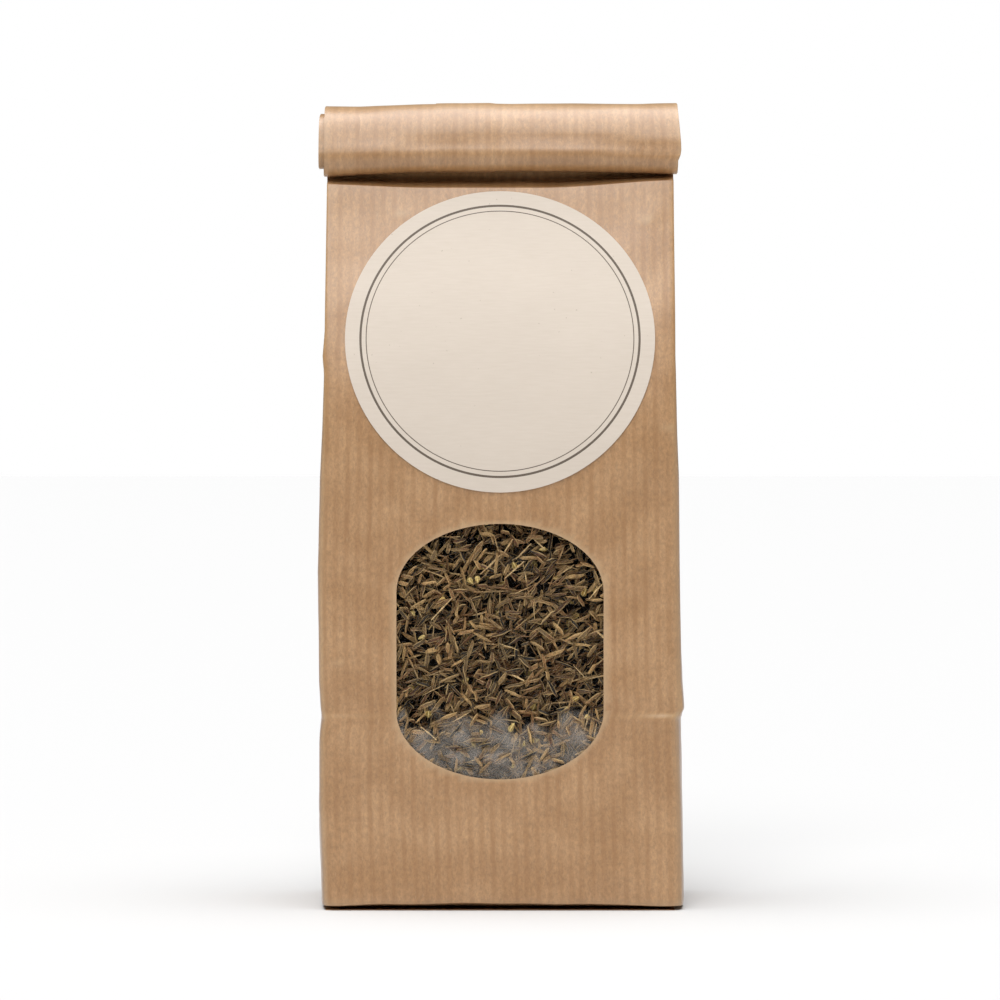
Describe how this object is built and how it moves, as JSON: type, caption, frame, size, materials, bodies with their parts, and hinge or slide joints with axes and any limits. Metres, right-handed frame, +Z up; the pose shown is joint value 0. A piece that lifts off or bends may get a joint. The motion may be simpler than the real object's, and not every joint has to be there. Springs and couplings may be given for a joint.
{
  "type": "paper window bag of dried thyme",
  "caption": "Small upright block-bottom kraft paper bag with a rolled-down top, a round paper label and a clear window, filled with dried rubbed thyme.",
  "frame": {"origin": "middle of the flat bottom, on the surface that the bag stands on", "axes": "+Z up the bag to its rolled top, front with the label and window towards -Y, +X to the right seen from the front"},
  "size_m": [0.0716, 0.0427, 0.1569],
  "materials": {
    "kraft_paper": "matte",
    "clear_film": "gloss",
    "label_paper": "matte",
    "packed_thyme": "matte",
    "thyme_leaf": "matte",
    "thyme_stalk": "matte",
    "thyme_calyx": "matte"
  },
  "bodies": {
    "root": {"calyx_01": "thyme_calyx", "calyx_02": "thyme_calyx", "calyx_03": "thyme_calyx", "calyx_04": "thyme_calyx", "calyx_05": "thyme_calyx", "calyx_06": "thyme_calyx", "leaf_01": "thyme_leaf", "leaf_02": "thyme_leaf", "leaf_03": "thyme_leaf", "leaf_04": "thyme_leaf", "leaf_05": "thyme_leaf", "leaf_06": "thyme_leaf", "leaf_07": "thyme_leaf", "leaf_08": "thyme_leaf", "leaf_09": "thyme_leaf", "leaf_10": "thyme_leaf", "leaf_11": "thyme_leaf", "leaf_12": "thyme_leaf", "leaf_13": "thyme_leaf", "leaf_14": "thyme_leaf", "leaf_15": "thyme_leaf", "leaf_16": "thyme_leaf", "leaf_17": "thyme_leaf", "leaf_18": "thyme_leaf", "leaf_19": "thyme_leaf", "leaf_20": "thyme_leaf", "paper_bag": "kraft_paper", "round_label": "label_paper", "stalk_01": "thyme_stalk", "stalk_02": "thyme_stalk", "stalk_03": "thyme_stalk", "stalk_04": "thyme_stalk", "stalk_05": "thyme_stalk", "stalk_06": "thyme_stalk", "stalk_07": "thyme_stalk", "stalk_08": "thyme_stalk", "stalk_09": "thyme_stalk", "stalk_10": "thyme_stalk", "stalk_11": "thyme_stalk", "stalk_12": "thyme_stalk", "stalk_13": "thyme_stalk", "stalk_14": "thyme_stalk", "thyme_mass": "packed_thyme", "window_film": "clear_film"}
  },
  "joints": []
}
